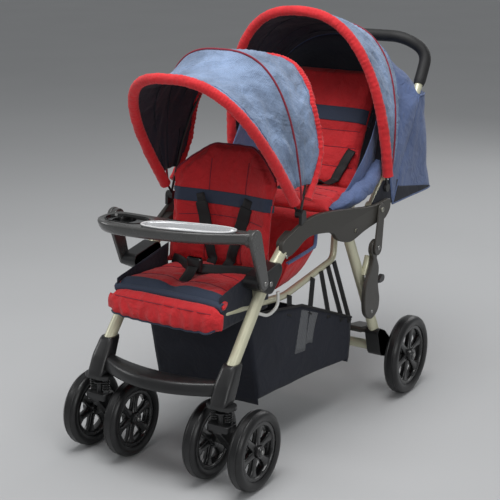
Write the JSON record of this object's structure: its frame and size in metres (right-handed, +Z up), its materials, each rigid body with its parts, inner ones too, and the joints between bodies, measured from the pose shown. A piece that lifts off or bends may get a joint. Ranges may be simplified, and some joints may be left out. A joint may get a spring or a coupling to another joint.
{
  "type": "tandem twin stroller",
  "caption": "Tandem stroller for two children, with padded seats one behind the other, folding canopies, a child tray, a basket and a folding tube frame.",
  "frame": {"origin": "on the floor, below the middle of the stroller", "axes": "+X to the child's left, +Y to the back where the handle is, +Z up; the stroller faces -Y"},
  "size_m": [0.592, 1.077, 1.0388],
  "materials": {
    "cream_tube": "satin cream paint on round tube",
    "grey_plastic": "moulded, fine grain",
    "black_plastic": "moulded, fine grain",
    "tyre": "smooth, worn satin",
    "spring_steel": "black coated spring wire",
    "axle_steel": "turned",
    "grip_foam": "closed-cell foam",
    "red_fabric": "plain weave, padded and stitched",
    "blue_fabric": "two-tone plain weave, creased",
    "denim_fabric": "two-tone plain weave",
    "navy_fabric": "coated plain weave with mesh panels",
    "dish_plastic": "glossy"
  },
  "bodies": {
    "frame": {"arm_left": "grey_plastic", "arm_right": "grey_plastic", "hub_left": "black_plastic", "hub_right": "black_plastic", "front_seat_frame": "cream_tube", "rear_seat_frame": "cream_tube", "front_cushion": "red_fabric", "rear_cushion": "red_fabric", "rear_footwell": "red_fabric", "basket": "navy_fabric", "front_canopy_hoop": "black_plastic", "front_canopy_cover": "blue_fabric"},
    "front_legs": {"front_leg_left": "cream_tube", "front_leg_right": "cream_tube", "footrest": "black_plastic"},
    "rear_legs": {"rear_leg_left": "cream_tube", "rear_leg_right": "cream_tube", "rear_bracket_left": "black_plastic", "rear_bracket_right": "black_plastic", "rear_cross_tube": "cream_tube"},
    "brake": {"brake_bar": "grey_plastic"},
    "brace_upper": {"brace_upper_left": "grey_plastic", "brace_upper_right": "grey_plastic"},
    "brace_lower": {"brace_lower_left": "grey_plastic", "brace_lower_right": "grey_plastic"},
    "release_button": {"release_button": "black_plastic"},
    "handle": {"handle_tube": "cream_tube", "handle_grip": "grip_foam", "rear_boot": "denim_fabric", "rear_canopy_cover": "blue_fabric"},
    "rear_canopy_bow": {"rear_canopy_bow": "black_plastic"},
    "front_canopy_bow": {"front_canopy_bow": "black_plastic"},
    "front_backrest": {"front_backrest": "red_fabric"},
    "rear_backrest": {"rear_backrest": "red_fabric"},
    "calf_rest": {"calf_rest": "red_fabric"},
    "tray": {"tray": "grey_plastic"},
    "tray_dish": {"tray_dish": "dish_plastic"},
    "caster_left": {"caster_housing_left": "black_plastic", "spring_left_outer": "spring_steel", "spring_left_inner": "spring_steel"},
    "fork_left": {"caster_fork_left": "black_plastic", "caster_axle_left": "axle_steel"},
    "front_wheel_left_outer": {"front_tyre_left_outer": "tyre", "front_rim_left_outer": "black_plastic"},
    "front_wheel_left_inner": {"front_tyre_left_inner": "tyre", "front_rim_left_inner": "black_plastic"},
    "rear_wheel_left": {"rear_tyre_left": "tyre", "rear_rim_left": "black_plastic"},
    "caster_right": {"caster_housing_right": "black_plastic", "spring_right_outer": "spring_steel", "spring_right_inner": "spring_steel"},
    "fork_right": {"caster_fork_right": "black_plastic", "caster_axle_right": "axle_steel"},
    "front_wheel_right_outer": {"front_tyre_right_outer": "tyre", "front_rim_right_outer": "black_plastic"},
    "front_wheel_right_inner": {"front_tyre_right_inner": "tyre", "front_rim_right_inner": "black_plastic"},
    "rear_wheel_right": {"rear_tyre_right": "tyre", "rear_rim_right": "black_plastic"}
  },
  "joints": [
    {"name": "front_leg_fold", "type": "hinge", "parent": "frame", "child": "front_legs", "pos_m": [0, -0.3035, 0.45], "axis": [1, 0, 0], "range_deg": [0, 78], "deforming": ["basket"]},
    {"name": "rear_leg_fold", "type": "hinge", "parent": "frame", "child": "rear_legs", "pos_m": [0, 0.0545, 0.503], "axis": [1, 0, 0], "range_deg": [0, 44]},
    {"name": "brace_upper_fold", "type": "hinge", "parent": "frame", "child": "brace_upper", "pos_m": [0, 0.1565, 0.539], "axis": [1, 0, 0], "range_deg": [-10.83, 0]},
    {"name": "brace_lower_fold", "type": "hinge", "parent": "brace_upper", "child": "brace_lower", "pos_m": [0, 0.1415, 0.44], "axis": [1, 0, 0], "range_deg": [0, 84.1]},
    {"name": "handle_fold", "type": "hinge", "parent": "frame", "child": "handle", "pos_m": [0, 0.1565, 0.539], "axis": [1, 0, 0], "range_deg": [-50, 0], "deforming": ["rear_boot", "rear_canopy_cover"]},
    {"name": "caster_swivel_left", "type": "hinge", "parent": "front_legs", "child": "caster_left", "pos_m": [0.177, -0.4855, 0.2], "axis": [0, 0, 1], "continuous": true},
    {"name": "caster_spring_left", "type": "slide", "parent": "caster_left", "child": "fork_left", "axis": [0, 0, 1], "range_m": [0, 0.012], "stiffness_N_per_m": 8000, "springref_m": -0.008, "deforming": ["spring_left_outer", "spring_left_inner"]},
    {"name": "front_wheel_spin_left_outer", "type": "hinge", "parent": "fork_left", "child": "front_wheel_left_outer", "pos_m": [0.239, -0.4435, 0.095], "axis": [1, 0, 0], "continuous": true},
    {"name": "front_wheel_spin_left_inner", "type": "hinge", "parent": "fork_left", "child": "front_wheel_left_inner", "pos_m": [0.115, -0.4435, 0.095], "axis": [1, 0, 0], "continuous": true},
    {"name": "rear_wheel_spin_left", "type": "hinge", "parent": "rear_legs", "child": "rear_wheel_left", "pos_m": [0.274, 0.2825, 0.1075], "axis": [1, 0, 0], "continuous": true},
    {"name": "caster_swivel_right", "type": "hinge", "parent": "front_legs", "child": "caster_right", "pos_m": [-0.177, -0.4855, 0.2], "axis": [0, 0, 1], "continuous": true},
    {"name": "caster_spring_right", "type": "slide", "parent": "caster_right", "child": "fork_right", "axis": [0, 0, 1], "range_m": [0, 0.012], "stiffness_N_per_m": 8000, "springref_m": -0.008, "deforming": ["spring_right_outer", "spring_right_inner"]},
    {"name": "front_wheel_spin_right_outer", "type": "hinge", "parent": "fork_right", "child": "front_wheel_right_outer", "pos_m": [-0.239, -0.4435, 0.095], "axis": [1, 0, 0], "continuous": true},
    {"name": "front_wheel_spin_right_inner", "type": "hinge", "parent": "fork_right", "child": "front_wheel_right_inner", "pos_m": [-0.115, -0.4435, 0.095], "axis": [1, 0, 0], "continuous": true},
    {"name": "rear_wheel_spin_right", "type": "hinge", "parent": "rear_legs", "child": "rear_wheel_right", "pos_m": [-0.274, 0.2825, 0.1075], "axis": [1, 0, 0], "continuous": true},
    {"name": "brake_pedal", "type": "hinge", "parent": "rear_legs", "child": "brake", "pos_m": [0, 0.1905, 0.188], "axis": [1, 0, 0], "range_deg": [-18, 0]},
    {"name": "release_button_press", "type": "slide", "parent": "brace_lower", "child": "release_button", "axis": [0, -1, 0], "range_m": [0, 0.006], "stiffness_N_per_m": 500, "springref_m": -0.004},
    {"name": "rear_canopy_fold", "type": "hinge", "parent": "handle", "child": "rear_canopy_bow", "pos_m": [0, 0.2085, 0.585], "axis": [1, 0, 0], "range_deg": [-36, 0]},
    {"name": "front_canopy_fold", "type": "hinge", "parent": "frame", "child": "front_canopy_bow", "pos_m": [0, -0.1615, 0.587], "axis": [1, 0, 0], "range_deg": [-45, 0], "deforming": ["front_canopy_cover"]},
    {"name": "front_backrest_recline", "type": "hinge", "parent": "frame", "child": "front_backrest", "pos_m": [0, -0.1795, 0.436], "axis": [1, 0, 0], "range_deg": [-20, 0]},
    {"name": "rear_backrest_recline", "type": "hinge", "parent": "frame", "child": "rear_backrest", "pos_m": [0, 0.2077, 0.5532], "axis": [1, 0, 0], "range_deg": [-20, 0]},
    {"name": "calf_rest_lift", "type": "hinge", "parent": "frame", "child": "calf_rest", "pos_m": [0, -0.4427, 0.4283], "axis": [1, 0, 0], "range_deg": [-70, 0]},
    {"name": "tray_tip", "type": "hinge", "parent": "frame", "child": "tray", "pos_m": [0, -0.3455, 0.463], "axis": [1, 0, 0], "range_deg": [0, 55]},
    {"name": "tray_dish_lift", "type": "slide", "parent": "tray", "child": "tray_dish", "axis": [0, 0, 1], "range_m": [0, 0.05]}
  ],
  "couplings": [
    {"joint": "rear_leg_fold", "follows": "front_leg_fold", "ratio": 0.5641},
    {"joint": "brace_upper_fold", "follows": "front_leg_fold", "ratio": -0.13884},
    {"joint": "brace_lower_fold", "follows": "front_leg_fold", "ratio": 1.0782},
    {"joint": "handle_fold", "follows": "front_leg_fold", "ratio": -0.641}
  ]
}
